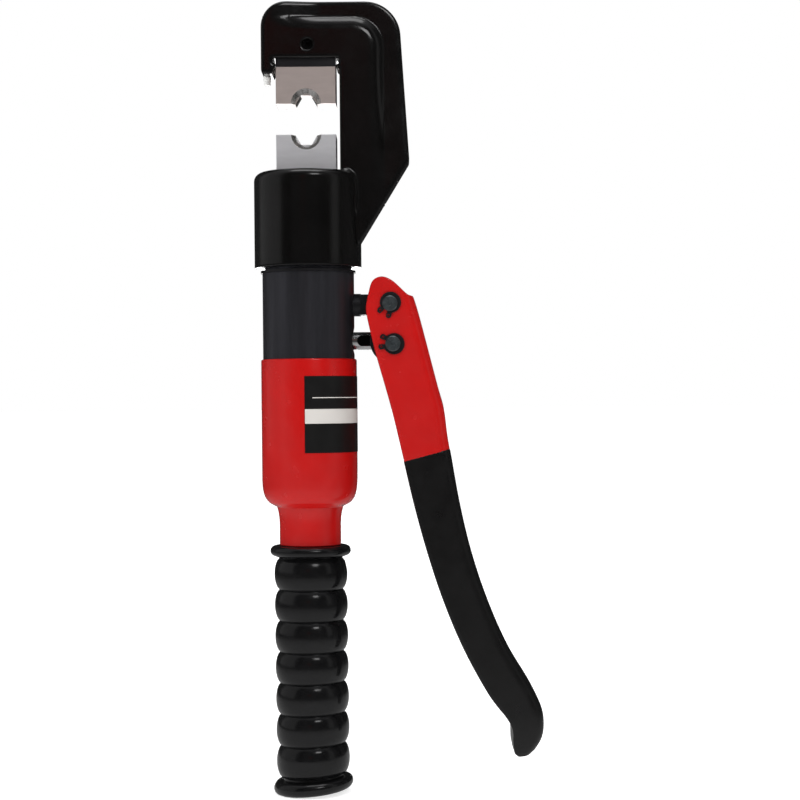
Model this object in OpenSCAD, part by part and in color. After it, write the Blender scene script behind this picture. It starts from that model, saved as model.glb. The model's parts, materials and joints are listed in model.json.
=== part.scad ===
// Hand-pumped hydraulic crimping tool: a C-shaped head with two dies, a ram, a pump body,
// an oil-filled handle and a pump lever.
// Z runs up the ram axis from the middle of the grip's end face. +X points to the pump lever.
// Millimetres throughout.

/* [Head] */
// Height of the whole tool, from the grip's end face to the top of the head
tool_h = 310; // [307:0.5:314]
// Half thickness of the C frame beside the dies
frame_half_t = 8.4; // [7.6:0.1:9]
// Half thickness of the C frame's outer rim
rim_half_t = 5.6; // [4:0.1:7]
// Radius of the cylinder sleeve at the foot of the C frame
sleeve_r = 21; // [20.6:0.1:22]
// Height of the sleeve's lower edge
sleeve_z0 = 206; // [205.8:0.1:207]
// Height of the sleeve's top face
sleeve_z1 = 243.4; // [243:0.1:243.6]
// Radius of the ram's cylinder bore
cylinder_r = 15; // [14.5:0.1:15.5]

/* [Dies] */
// Width of each die across the C opening
die_w = 23.4; // [22:0.1:23.8]
// Thickness of each die along the crimped cable
die_t = 14; // [10:0.5:16]
// Side of the hexagon that the two dies close on
hex_side = 4.2; // [2:0.1:5.2]
// Radius of the round mouth of the hexagon at both faces of a die
mouth_r = 5.8; // [5.5:0.1:7]
// Height of the lower die above the ram
lower_die_h = 14.3; // [13:0.1:14.6]
// Height of the upper die below its seat plate
upper_die_h = 14.4; // [13:0.1:14.6]

/* [Ram] */
// Travel of the ram
stroke = 12; // [10:0.5:12]
// Radius of the ram's rod, which passes the C frame's arm
rod_r = 12.5; // [11.5:0.1:12.8]

/* [Pump body] */
// Radius of the pump body
body_r = 18; // [17.8:0.1:18.4]
// Height where the pump body meets the handle casing
casing_top_z = 170.2; // [169.6:0.1:170.4]
// Radius of the pump plunger
plunger_r = 3.475; // [3.2:0.025:3.6]
// Distance from the ram axis where the plunger's flats start
flat_start = 21.3; // [20:0.1:22]

/* [Lever] */
// Height of the lever's fulcrum pin
fulcrum_z = 191.4; // [191:0.1:192]
// Distance of the lever's fulcrum pin from the ram axis
fulcrum_x = 32.1; // [31.8:0.1:32.6]
// Distance between the lever's two pins
pin_gap = 15.65; // [15.2:0.05:16]
// Half width of the lever channel
lever_half_w = 11; // [10.5:0.1:12]
// Thickness of the lever's sheet
lever_t = 2.5; // [2:0.1:3]
// Radius of both lever pins
pin_r = 3; // [2.5:0.1:3.2]

/* [Handle] */
// Radius of the handle casing
casing_r = 18.8; // [18.6:0.1:19.4]
// Radius of the casing's neck
neck_r = 12.1; // [11.6:0.1:12.6]
// Height of the grip's upper end
grip_top_z = 97.3; // [96:0.1:98]
// Radius of the grip's two end flanges
flange_r = 15.9; // [15:0.1:16.5]
// Radius of the grip at the crests of its ribs
rib_r = 14.4; // [13.4:0.1:14.6]
// Radius of the grip at the bottom of its grooves
groove_r = 12.5; // [12:0.1:13]
// Number of ribs on the grip
rib_count = 7; // [5:1:8]

/* [Hidden] */
// Clearances: turning or sliding fits, and faces that only meet
run = 0.05;
touch = 0.02;
$fn = 96;

// C frame
seat_z = tool_h - 22.4;
mouth_left = -12.9;
mouth_right = 13.2;
lip_z = tool_h - 29;
frame_left = -17.4;
frame_corner = [40.2, 247.2];
slant_foot = [20, 214.6];
cross_hole = [0.8, 292.9];
cross_hole_r = 2.1;
die_screw_sunk = 2;
lip_screw_x = -15.4;
seat_plate_h = 3.3;
shank_r = 4.5;
die_neck_r = 3.3;
detent_z = 238.3;
detent_r = 1.55;

// Cylinder, from the head's screw-on joint to the guide of the rod
cup_r = 17;
cup_top_z = 216;
guide_z0 = 238.9;
ram_z0 = cup_top_z + 0.2;
piston_top_z = guide_z0 - stroke - 2 * run;
ram_top_z = sleeve_z1 + 0.1;
seal_z = [219.5, 223.5];
wiper_r = rod_r + 1.65;
wiper_z = [sleeve_z1 - 3.15, sleeve_z1 - 1.25];
seal_groove_r = 12.4;
spring_pocket_r = 6;
spring_pocket_z = 231;
die_socket_z = 233.6;

// Pump body
body_top_z = 203.9;
spigot_r = cup_r - run;
thread_foot_r = 17;
casing_foot_z = 150;
bladder_spigot_r = 14.45;
body_z0 = 143;
spring_bore_r = 5.2;
spring_bore_z0 = 184;
valve_x = -9.6;
valve_r = 3;
plunger_z = 177.3;
plunger_bore_r = plunger_r + 0.025;
delivery_seat_z = [183, 186];
valve_ball_r = 2.2;
suction_hole_r = 1.1;
delivery_hole_r = 1.4;
gland_r = 5.4;
return_r = 1.2;
return_x = 12.2;

// Relief valve, on a line that leaves the body between the lever and the back
relief_z = 197;
relief_turn = 40;
relief_r = 3.4;

// Release valve, at the back
release_z = 190.3;
release_r = 4;
flat_y = 15.6;
release_pivot = [21, 198.6];
release_pin_r = 1.5;
release_seat_r = 1.35;
release_ball_r = 2.4;
ear_in = 5;

// Lever linkage
swing0 = 3.8;
lower_pin = [fulcrum_x + pin_gap * sin(swing0), fulcrum_z - pin_gap * cos(swing0)];
eye_z = 177;
eye_r = 9;
eye_half_t = 6.5;
lug_half_t = 4;
lug_eye_r = 5;
slot_z = [lower_pin[1], 178.4];
slot_r = pin_r + 0.25;
lever_in = lever_half_w - lever_t;
pin_half_l = lever_half_w + 2.2;
circlip_t = 0.7;

// Lever, seen from the side: edge towards the handle, edge away from it, and the rounded ear
lever_inner = [
    [22.7, 190], [23.2, 186], [26.3, 172.5], [32.2, 151], [36.6, 132], [40.8, 113.5],
    [45.7, 95], [51.8, 76], [59.6, 57], [69.2, 39.2], [76.4, 29.6], [78.5, 25],
    [78.6, 20], [79.4, 15.4]
];
lever_outer = [
    [41.2, 194.4], [43.7, 186], [50.3, 160], [52.8, 150.6], [54.1, 140], [55.6, 131],
    [58.7, 113], [63, 94.5], [69.1, 75.7], [77.1, 57], [85.4, 42.8], [89.6, 34],
    [90.6, 27.5], [89.8, 21.5], [87.2, 16.8]
];
lever_ear = [
    [39, 195], [36.6, 197.2], [32.8, 200.6], [28.9, 202], [25.4, 200.3], [23.8, 195.6]
];
lever_tip = [[83.6, 14.4], [81.4, 14]];
grip_edge = [[36.7, 130.3], [54.8, 134.9]];
dip_t = 0.4;
cavity_foot_z = 30;

// Handle
handle_tube_r = 10;
grip_foot_z = 6.9;
flange_h = 5.2;
rib_pitch = (grip_top_z - flange_h - grip_foot_z) / rib_count;
casing_in_r = thread_foot_r + run;
shoulder_z = 121;
crease = [13.2, 112.5];
label_z = [133.8, 163.4];

// ---- helpers ----

function arc(c, r, a0, a1, n = 10) =
    [for (i = [0:n]) let (a = a0 + (a1 - a0) * i / n) [c[0] + r * cos(a), c[1] + r * sin(a)]];

function reversed(p) = [for (i = [len(p) - 1:-1:0]) p[i]];

function spline_point(a, b, c, d, t) =
    0.5 * (2 * b + (c - a) * t + (2 * a - 5 * b + 4 * c - d) * t * t
    + (3 * b - 3 * c + d - a) * t * t * t);

// A smooth line through every point of p, with n steps between neighbours
function smooth(p, n = 4) = concat(
    [for (i = [0:len(p) - 2], k = [0:n - 1])
        spline_point(p[max(i - 1, 0)], p[i], p[i + 1], p[min(i + 2, len(p) - 1)], k / n)],
    [p[len(p) - 1]]);

function unit(v) = v / norm(v);

// The line p moved sideways by d, to the left of its own direction
function beside(p, d) = [
    for (i = [0:len(p) - 1])
        let (t = unit(p[min(i + 1, len(p) - 1)] - p[max(i - 1, 0)]))
        p[i] + d * [-t[1], t[0]]
];

// Extrudes an outline drawn in X and Z, from y = -half to y = half
module across_y(half) {
    rotate([90, 0, 0])
        linear_extrude(2 * half, center = true)
            children();
}

// Extrudes an outline drawn in Y and Z, from x = -half to x = half
module across_x(half) {
    rotate([90, 0, 90])
        linear_extrude(2 * half, center = true)
            children();
}

module rod_x(r, x0, x1, z, y = 0) {
    translate([x0, y, z])
        rotate([0, 90, 0])
            cylinder(h = x1 - x0, r = r);
}

module rod_y(r, y0, y1, x, z) {
    translate([x, y0, z])
        rotate([-90, 0, 0])
            cylinder(h = y1 - y0, r = r);
}

module rod_z(r, z0, z1, x = 0, y = 0) {
    translate([x, y, z0])
        cylinder(h = z1 - z0, r = r);
}

module ring_z(r_out, r_in, z0, z1) {
    rotate_extrude()
        translate([r_in, z0])
            square([r_out - r_in, z1 - z0]);
}

module torus_z(r, wire_r, z) {
    rotate_extrude()
        translate([r, z])
            circle(wire_r, $fn = 24);
}

// Closed coil along Z, wound from z0 to z1
module coil(r, wire_r, z0, z1, turns, sides = 6, steps = 14) {
    n = turns * steps;
    rise = (z1 - z0 - 2 * wire_r) / n;
    points = [
        for (i = [0:n], j = [0:sides - 1])
            let (a = 360 * i / steps, b = 360 * j / sides, q = r + wire_r * cos(b))
            [q * cos(a), q * sin(a), z0 + wire_r + rise * i + wire_r * sin(b)]
    ];
    walls = [
        for (i = [0:n - 1], j = [0:sides - 1])
            let (k = (j + 1) % sides)
            [i * sides + j, (i + 1) * sides + j, (i + 1) * sides + k, i * sides + k]
    ];
    first = [for (j = [0:sides - 1]) j];
    last = [for (j = [sides - 1:-1:0]) n * sides + j];
    polyhedron(points, concat([first], walls, [last]), convexity = 8);
}

// ---- head ----

module frame_outline() {
    polygon(concat(
        arc([frame_left + 2, lip_z + 2], 2, 180, 270, 4),
        arc([mouth_left - 2.3, lip_z + 1.6], 1.6, 270, 360, 4),
        [[mouth_left, seat_z], [mouth_right, seat_z], [mouth_right, 236], [14, 214.6]],
        [slant_foot],
        arc([frame_corner[0] - 1.6, frame_corner[1] + 0.6], 1.6, -38, 0, 3),
        arc([23.2, tool_h - 14], 14, 2, 90, 14),
        arc([frame_left + 8, tool_h - 8], 8, 90, 180, 10)));
}

module thick_outline() {
    slant = (frame_corner - slant_foot) / (frame_corner[0] - slant_foot[0]);
    polygon(concat(
        arc([frame_left + 2, lip_z + 2], 2, 180, 270, 4),
        arc([mouth_left - 2.3, lip_z + 1.6], 1.6, 270, 360, 4),
        [[mouth_left, seat_z], [mouth_right, seat_z], [mouth_right, 236], [14, 214.6]],
        [slant_foot, slant_foot + slant * 8.1],
        arc([18.1, tool_h - 18.3], 10, 0, 90, 12),
        [[frame_left, tool_h - 8.3]]));
}

module sleeve_profile() {
    polygon(concat(
        [[0, sleeve_z0], [sleeve_r - 0.6, sleeve_z0], [sleeve_r, sleeve_z0 + 0.6]],
        arc([sleeve_r - 3.5, sleeve_z1 - 3.5], 3.5, 0, 90, 8),
        [[0, sleeve_z1]]));
}

module c_head() {
    color([0.07, 0.07, 0.075])
    difference() {
        union() {
            across_y(rim_half_t) frame_outline();
            across_y(frame_half_t) thick_outline();
            rotate_extrude() sleeve_profile();
        }
        rod_z(cup_r, sleeve_z0 - 1, cup_top_z);
        rod_z(cylinder_r, cup_top_z - 1, guide_z0);
        rod_z(rod_r + run, guide_z0 - 1, sleeve_z1 + 1);
        // Room for the wiper ring
        ring_z(wiper_r + run, rod_r - 1, wiper_z[0] - run, wiper_z[1] + run);
        // Mouth above the sleeve, cleared for the dies
        translate([-sleeve_r, -frame_half_t - 1, sleeve_z1])
            cube([sleeve_r + mouth_right, 2 * frame_half_t + 2, 5]);
        // Socket of the upper die and its screw hole
        rod_z(shank_r + run, seat_z - 1, seat_z + 10);
        rod_y(cross_hole_r, -frame_half_t - 1, -shank_r + 1, cross_hole[0], cross_hole[1]);
        translate([cross_hole[0], -frame_half_t - 0.01, cross_hole[1]])
            rotate([-90, 0, 0])
                cylinder(h = 0.7, r1 = cross_hole_r + 0.7, r2 = cross_hole_r);
        // Tapped hole in the lip
        rod_z(1.6, lip_z - 1, lip_z + 12, lip_screw_x);
    }
}

module die_seat_plate() {
    color([0.1, 0.1, 0.11])
    difference() {
        translate([-die_w / 2, -die_t / 2 + 0.4, seat_z - seat_plate_h])
            cube([die_w, die_t - 0.8, seat_plate_h]);
        rod_z(shank_r + run, seat_z - seat_plate_h - 1, seat_z + 1);
    }
}

// Hexagon of the closed dies, drawn in X and Z round the parting line
module hexagon(side) {
    circle(side, $fn = 6);
}

// Cone that opens the hexagon towards both faces of a die
module die_mouths(z) {
    for (s = [-1, 1])
        translate([0, s * (die_t / 2 + 0.01), z])
            rotate([s * 90, 0, 0])
                cylinder(h = 3, r1 = mouth_r, r2 = hex_side);
}

module upper_die() {
    face_z = seat_z - seat_plate_h;
    color([0.66, 0.66, 0.68])
    difference() {
        union() {
            translate([-die_w / 2, -die_t / 2, face_z - upper_die_h])
                cube([die_w, die_t, upper_die_h]);
            rod_z(shank_r, face_z - 1, seat_z + 9.4);
        }
        translate([0, 0, face_z - upper_die_h])
            across_y(die_t) hexagon(hex_side);
        die_mouths(face_z - upper_die_h);
        ring_z(shank_r + 1, die_neck_r, cross_hole[1] - 1.6, cross_hole[1] + 1.6);
    }
}

module upper_die_screw() {
    color([0.12, 0.12, 0.13])
    difference() {
        union() {
            rod_y(cross_hole_r - touch, -frame_half_t + die_screw_sunk, -4.8, cross_hole[0], cross_hole[1]);
            rod_y(1.2, -5, -3.7, cross_hole[0], cross_hole[1]);
        }
        translate([cross_hole[0], -frame_half_t + die_screw_sunk - 0.01, cross_hole[1]])
            rotate([-90, 0, 0])
                cylinder(h = 1.3, r = 1.15, $fn = 6);
    }
}

module lip_set_screw() {
    color([0.82, 0.82, 0.8]) {
        rod_z(1.6 - touch, lip_z - 1.6, lip_z + 11, lip_screw_x);
        rod_z(1.25, lip_z - 3.3, lip_z - 1.4, lip_screw_x);
    }
}

module ram_wiper_ring() {
    color([0.2, 0.2, 0.2])
        ring_z(wiper_r, rod_r + run, wiper_z[0], wiper_z[1]);
}

// ---- ram ----

module ram_piston() {
    color([0.62, 0.62, 0.64])
    difference() {
        union() {
            rod_z(cylinder_r - run, ram_z0, piston_top_z);
            rod_z(rod_r, piston_top_z - 1, ram_top_z);
        }
        ring_z(cylinder_r + 1, seal_groove_r, seal_z[0], seal_z[1]);
        rod_z(spring_pocket_r, ram_z0 - 1, spring_pocket_z);
        rod_z(shank_r + run, die_socket_z, ram_top_z + 1);
        rod_y(detent_r, -rod_r - 1, -shank_r + 1, 0, detent_z);
    }
}

module ram_seal() {
    color([0.75, 0.2, 0.15])
        ring_z(cylinder_r - run, seal_groove_r + run, seal_z[0] + run, 222);
}

module ram_backup_ring() {
    color([0.9, 0.9, 0.85])
        ring_z(cylinder_r - run, seal_groove_r + run, 222 + run, seal_z[1] - run);
}

// Disc with a standing ring that a hook of the return spring passes through
module spring_eye(r, z0, z1, ring_z0, dir) {
    rod_z(r, z0, z1);
    translate([0, 0, ring_z0])
        rotate([90, 0, dir])
            rotate_extrude()
                translate([1.7, 0])
                    circle(0.6, $fn = 24);
}

module ram_spring_eye() {
    color([0.5, 0.5, 0.52])
        spring_eye(spring_pocket_r - touch, spring_pocket_z - 2.5, spring_pocket_z - touch,
            spring_pocket_z - 4, 0);
}

module return_spring() {
    color([0.55, 0.55, 0.58])
        coil(3.4, 0.6, 190.3, spring_pocket_z - 6.7, 12);
}

module lower_die() {
    face_z = ram_top_z;
    color([0.68, 0.68, 0.7])
    difference() {
        union() {
            translate([-die_w / 2, -die_t / 2, face_z])
                cube([die_w, die_t, lower_die_h]);
            rod_z(shank_r, face_z - 9, face_z + 1);
        }
        translate([0, 0, face_z + lower_die_h])
            across_y(die_t) hexagon(hex_side);
        die_mouths(face_z + lower_die_h);
        ring_z(shank_r + 1, die_neck_r, detent_z - 1.6, detent_z + 1.6);
    }
}

module lower_die_ball() {
    color([0.7, 0.7, 0.72])
        translate([0, -4.9, detent_z])
            sphere(1.5, $fn = 48);
}

module lower_die_ball_spring() {
    color([0.55, 0.55, 0.58])
        translate([0, -6.45, detent_z])
            rotate([90, 0, 0])
                coil(1, 0.25, 0, 3, 4, 6, 10);
}

module lower_die_ball_screw() {
    color([0.15, 0.15, 0.16])
    difference() {
        rod_y(detent_r - touch, -12, -9.5, 0, detent_z);
        rod_y(0.8, -13, -10.8, 0, detent_z, $fn = 6);
    }
}

// ---- pump body ----

module pump_body() {
    color([0.13, 0.13, 0.145])
    difference() {
        union() {
            rod_z(body_r, casing_top_z, body_top_z);
            rod_z(spigot_r, body_top_z - 1, cup_top_z);
            rod_z(thread_foot_r, casing_foot_z, casing_top_z + 1);
            rod_z(bladder_spigot_r, body_z0, casing_foot_z + 1);
        }
        // Grooves of the two O-rings
        ring_z(body_r + 1, 15.1, 212.2, 214.2);
        ring_z(body_r + 1, 15.15, 154, 156);
        // Bore of the return spring, open to the ram's cylinder
        rod_z(spring_bore_r, spring_bore_z0, cup_top_z + 1);
        // Suction valve, pump chamber and delivery valve, one above the other
        rod_z(valve_r, body_z0 - 1, delivery_seat_z[0], valve_x);
        rod_z(delivery_hole_r, delivery_seat_z[0] - 1, delivery_seat_z[1] + 1, valve_x);
        rod_z(valve_r, delivery_seat_z[1], cup_top_z + 1, valve_x);
        rod_x(plunger_bore_r, valve_x, body_r + 1, plunger_z);
        rod_x(gland_r, 8, body_r + 1, plunger_z);
        // Fulcrum lug
        rod_x(2.95, 9.3, body_r, fulcrum_z);
        rod_x(4.5, 17.4, body_r + 2, fulcrum_z);
        // Relief valve and its way back to the oil
        rotate([0, 0, relief_turn]) {
            rod_x(return_r, 4, 10, relief_z);
            rod_x(relief_r, 9, body_r + 1, relief_z);
            rod_z(return_r, body_z0 - 1, relief_z, return_x);
        }
        // Flat, release valve and its way back to the oil
        translate([-13, flat_y, 176])
            cube([26, 5, 26]);
        rod_y(release_r, 4, body_r, 0, release_z);
        rod_z(return_r, body_z0 - 1, release_z, 0, return_x);
    }
}

module head_washer() {
    color([0.3, 0.3, 0.32])
        ring_z(18.6, cup_r, body_top_z + touch, body_top_z + 1);
}

module head_o_ring() {
    color([0.15, 0.15, 0.15])
        torus_z(16.05, 0.88, 213.2);
}

module body_spring_eye() {
    color([0.5, 0.5, 0.52])
        spring_eye(spring_bore_r - touch, spring_bore_z0 + touch, 186.2, 187.6, 0);
}

module suction_filter() {
    color([0.72, 0.66, 0.4])
        rod_z(valve_r - touch, body_z0 + 0.4, body_z0 + 1.8, valve_x);
}

module suction_seat() {
    color([0.6, 0.6, 0.62])
    difference() {
        rod_z(valve_r - touch, 152, 168, valve_x);
        rod_z(suction_hole_r, 151, 169, valve_x);
    }
}

module valve_ball(seat_z, hole_r) {
    translate([valve_x, 0, seat_z + sqrt(pow(valve_ball_r, 2) - pow(hole_r, 2)) + touch])
        sphere(valve_ball_r, $fn = 64);
}

module suction_ball() {
    color([0.75, 0.75, 0.78])
        valve_ball(168, suction_hole_r);
}

module suction_spring() {
    color([0.55, 0.55, 0.58])
        translate([valve_x, 0, 0])
            coil(2.2, 0.3, 172.3, delivery_seat_z[0] - 0.1, 6, 6, 12);
}

module delivery_ball() {
    color([0.75, 0.75, 0.78])
        valve_ball(delivery_seat_z[1], delivery_hole_r);
}

module delivery_spring() {
    color([0.55, 0.55, 0.58])
        translate([valve_x, 0, 0])
            coil(2.2, 0.3, 190, 203.9, 8, 6, 12);
}

module delivery_plug() {
    color([0.6, 0.6, 0.62])
    difference() {
        rod_z(valve_r - touch, 204, 214, valve_x);
        rod_z(suction_hole_r, 203, 215, valve_x);
    }
}

module plunger_seal() {
    color([0.75, 0.2, 0.15])
    difference() {
        rod_x(gland_r - touch, 8 + touch, 10.6, plunger_z);
        rod_x(plunger_r + 0.03, 7, 12, plunger_z);
    }
}

module plunger_gland() {
    color([0.72, 0.55, 0.25])
    difference() {
        rod_x(gland_r - touch, 10.7, 16.4, plunger_z);
        rod_x(plunger_r + 0.03, 10, 18, plunger_z);
    }
}

module relief_ball() {
    color([0.75, 0.75, 0.78])
        rotate([0, 0, relief_turn])
            translate([9 + sqrt(1.8) + touch, 0, relief_z])
                sphere(1.8, $fn = 48);
}

module relief_spring() {
    color([0.5, 0.5, 0.52])
        rotate([0, 0, relief_turn])
            translate([12.25, 0, relief_z])
                rotate([0, 90, 0])
                    coil(2.3, 0.5, 0, 2.9, 2, 6, 14);
}

module relief_screw() {
    color([0.3, 0.3, 0.32])
        rotate([0, 0, relief_turn])
            difference() {
                rod_x(relief_r - touch, 15.2, 17.4, relief_z);
                translate([16.1, 0, relief_z])
                    rotate([0, 90, 0])
                        cylinder(h = 3, r = 1.75, $fn = 6);
            }
}

// ---- release valve ----

module release_cartridge() {
    color([0.6, 0.6, 0.62])
    difference() {
        union() {
            rod_y(release_r - touch, 10, 18, 0, release_z);
            translate([0, 17.12, release_z])
                rotate([-90, 0, 0])
                    rotate([0, 0, 30])
                        cylinder(h = 2.5, r = 5.2, $fn = 6);
        }
        rod_y(release_seat_r, 9, 20, 0, release_z);
        rod_y(2.6, 14, 20, 0, release_z);
    }
}

module release_bracket() {
    color([0.12, 0.12, 0.13])
    difference() {
        union() {
            translate([-6.5, flat_y + touch, 178])
                cube([13, 1.48, 23.8]);
            for (s = [-1, 1])
                across_x_at(s * (ear_in + 0.75), 0.75)
                    polygon([[flat_y + touch, 193.6], [22, 194.8], [24.2, 197], [24.2, 200.4],
                        [22.6, 201.8], [flat_y + touch, 201.8]]);
        }
        rod_y(release_r + 0.1, 14, 19, 0, release_z);
        rod_x(release_pin_r, -8, 8, release_pivot[1], release_pivot[0]);
    }
}

module across_x_at(x, half) {
    translate([x, 0, 0])
        across_x(half) children();
}

module release_lever() {
    half = ear_in - 0.15;
    color([0.1, 0.1, 0.11])
    difference() {
        union() {
            rod_x(3, -half, half, release_pivot[1], release_pivot[0]);
            across_x(half)
                polygon([[23.4, 200.2], [24.4, 190], [25.2, 182], [27.4, 174.4], [30.6, 168.6],
                    [29.4, 167.6], [25.9, 173.6], [23.7, 181.6], [23, 188], [21.5, 189.2],
                    [21.5, 191.4], [22.6, 192.6], [21.6, 196.4], [21, 198.6]]);
        }
        rod_x(release_pin_r + run, -8, 8, release_pivot[1], release_pivot[0]);
    }
}

module release_lever_pin() {
    color([0.6, 0.6, 0.62])
        rod_x(release_pin_r - touch, -7.2, 7.2, release_pivot[1], release_pivot[0]);
}

module release_stem() {
    color([0.7, 0.7, 0.72]) {
        rod_y(1.25, 10.52, 21, 0, release_z);
        rod_y(2.2, 20.7, 21.4, 0, release_z);
    }
}

module release_ball() {
    color([0.75, 0.75, 0.78])
        translate([0, 10 - sqrt(pow(release_ball_r, 2) - pow(release_seat_r, 2)) - touch, release_z])
            sphere(release_ball_r, $fn = 48);
}

module release_spring() {
    color([0.55, 0.55, 0.58])
        translate([0, 15, release_z])
            rotate([-90, 0, 0])
                coil(1.95, 0.28, 0, 5.68, 5, 6, 12);
}

// ---- lever linkage ----

module pivot_lug() {
    color([0.1, 0.1, 0.11])
    difference() {
        union() {
            rod_x(2.9, 9.5, 18, fulcrum_z);
            rod_x(4.45, 17.42, 20.6, fulcrum_z);
            translate([20, -lug_half_t, fulcrum_z - 4])
                cube([fulcrum_x - 20, 2 * lug_half_t, 8]);
            rod_y(lug_eye_r, -lug_half_t, lug_half_t, fulcrum_x, fulcrum_z);
        }
        rod_y(pin_r + run, -9, 9, fulcrum_x, fulcrum_z);
    }
}

module plunger() {
    eye_left = lower_pin[0] - eye_r;
    color([0.78, 0.78, 0.8])
    difference() {
        union() {
            rod_x(plunger_r, -2, eye_left + 0.4, plunger_z);
            rod_x(2.5, eye_left, 27.5, plunger_z);
        }
        // Spanner flats on both sides, each with a round inner end
        for (s = [-1, 1]) {
            translate([flat_start, s > 0 ? 2.75 : -5.75, plunger_z - 2.2])
                cube([24.6 - flat_start, 3, 4.4]);
            rod_y(2.2, s > 0 ? 2.75 : -5.75, s > 0 ? 5.75 : -2.75, flat_start, plunger_z);
        }
    }
}

module plunger_eye() {
    color([0.11, 0.11, 0.12])
    difference() {
        rod_y(eye_r, -eye_half_t, eye_half_t, lower_pin[0], eye_z);
        // Upright slot that lets the pin follow its arc
        for (z = slot_z)
            rod_y(slot_r, -9, 9, lower_pin[0], z);
        translate([lower_pin[0] - slot_r, -9, slot_z[0]])
            cube([2 * slot_r, 18, slot_z[1] - slot_z[0]]);
        rod_x(2.5 + touch, 20, 27.6, plunger_z);
        rod_x(plunger_r + touch, 20, lower_pin[0] - eye_r + 0.5, plunger_z);
    }
}

lever_in_edge = smooth(lever_inner);
lever_out_edge = smooth(lever_outer);

module lever_side(inset = 0) {
    polygon(concat(
        beside(lever_out_edge, -inset),
        [for (p = lever_tip) p + [0, inset]],
        reversed(beside(lever_in_edge, inset)),
        reversed(smooth(lever_ear, 3))));
}

// Space between the cheeks, open towards the handle and at the top
module lever_cavity(wall, half) {
    edge = beside(lever_out_edge, -wall);
    across_y(half)
        intersection() {
            polygon(concat(edge, [[60, 10], [0, 40], [0, 210], [edge[0][0], 210]]));
            translate([0, cavity_foot_z])
                square([200, 200]);
        }
}

// Everything on one side of the line where the dipped grip ends
module beyond_grip_edge(above) {
    d = unit(grip_edge[1] - grip_edge[0]);
    n = [-d[1], d[0]] * (above ? 1 : -1);
    across_y(20)
        polygon([grip_edge[0] - 60 * d, grip_edge[1] + 60 * d,
            grip_edge[1] + 60 * d + 200 * n, grip_edge[0] - 60 * d + 200 * n]);
}

module lever_steel(grow = 0) {
    difference() {
        union() {
            intersection() {
                across_y(lever_half_w) lever_side();
                beyond_grip_edge(true);
            }
            intersection() {
                across_y(lever_half_w - dip_t) lever_side(dip_t);
                beyond_grip_edge(false);
                translate([-50, -50, 21])
                    cube([200, 100, 200]);
            }
        }
        lever_cavity(lever_t, lever_in);
    }
}

module lever_channel() {
    color([0.72, 0.1, 0.09])
    difference() {
        lever_steel();
        rod_y(pin_r + touch, -20, 20, fulcrum_x, fulcrum_z);
        rod_y(pin_r + touch, -20, 20, lower_pin[0], lower_pin[1]);
    }
}

module lever_grip() {
    color([0.09, 0.09, 0.09])
    difference() {
        intersection() {
            across_y(lever_half_w) lever_side();
            beyond_grip_edge(false);
        }
        lever_steel();
        lever_cavity(lever_t + dip_t, lever_in - dip_t);
    }
}

module lever_pin(p) {
    difference() {
        rod_y(pin_r, -pin_half_l, pin_half_l, p[0], p[1]);
        // Grooves of the circlips
        for (s = [-1, 1])
            translate([p[0], s * (lever_half_w + 0.1 + circlip_t / 2), p[1]])
                rotate([90, 0, 0])
                    rotate_extrude()
                        translate([pin_r - 0.15, -circlip_t / 2 - 0.05])
                            square([2, circlip_t + 0.1]);
    }
}

module fulcrum_pin() {
    color([0.25, 0.26, 0.27])
        lever_pin([fulcrum_x, fulcrum_z]);
}

module plunger_pin() {
    color([0.25, 0.26, 0.27])
        lever_pin(lower_pin);
}

// Retaining ring round a pin, with its two eared ends towards the angle open_at
module circlip(p, y, open_at) {
    translate([p[0], y, p[1]])
        rotate([90, -open_at, 0])
            linear_extrude(circlip_t, center = true)
                difference() {
                    union() {
                        translate([-0.45, 0])
                            circle(4.1);
                        for (s = [-1, 1])
                            rotate(s * 24)
                                translate([4.6, 0])
                                    circle(1.15, $fn = 32);
                        for (s = [-1, 1])
                            rotate(s * 24)
                                translate([2.9, -1.15])
                                    square([1.7, 2.3]);
                    }
                    circle(pin_r - 0.12);
                    for (s = [-1, 1])
                        rotate(s * 24)
                            translate([4.6, 0])
                                circle(0.45, $fn = 24);
                    polygon([[0, 0], [9, -2.1], [9, 2.1]]);
                }
}

module pin_circlips() {
    y = lever_half_w + 0.1 + circlip_t / 2;
    color([0.1, 0.1, 0.11])
        for (s = [-1, 1]) {
            circlip([fulcrum_x, fulcrum_z], s * y, 239);
            circlip(lower_pin, s * y, 170);
        }
}

module spacer_pair(p, r, y0, y1, hole_r) {
    for (s = [-1, 1])
        difference() {
            rod_y(r, s > 0 ? y0 : -y1, s > 0 ? y1 : -y0, p[0], p[1]);
            rod_y(hole_r, -20, 20, p[0], p[1]);
        }
}

module lug_spacers() {
    color([0.35, 0.35, 0.37])
        spacer_pair([fulcrum_x, fulcrum_z], lug_eye_r - 0.1, lug_half_t + 0.1, lever_in - 0.05, pin_r + run);
}

module eye_spacers() {
    color([0.35, 0.35, 0.37])
        spacer_pair(lower_pin, 5, eye_half_t + 0.1, lever_in - 0.05, pin_r + run);
}

// ---- handle ----

module handle_casing() {
    color([0.72, 0.1, 0.09])
    rotate_extrude()
        polygon(concat(
            [[handle_tube_r + run, grip_top_z], [neck_r, grip_top_z], [neck_r, 105.5]],
            arc([neck_r + 24, 105.5], 24, 180, 163.5, 5),
            [crease],
            smooth([[15.4, 113.7], [17.1, 115.3], [18.3, 118], [casing_r, shoulder_z + 1]], 3),
            [[casing_r, casing_top_z - 0.7], [casing_r - 0.7, casing_top_z]],
            [[casing_in_r, casing_top_z], [casing_in_r, 125], [handle_tube_r + 4, 118.6]],
            [[handle_tube_r + run, 118.6]]));
}

module casing_o_ring() {
    color([0.15, 0.15, 0.15])
        torus_z(16.06, 0.88, 155);
}

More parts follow.
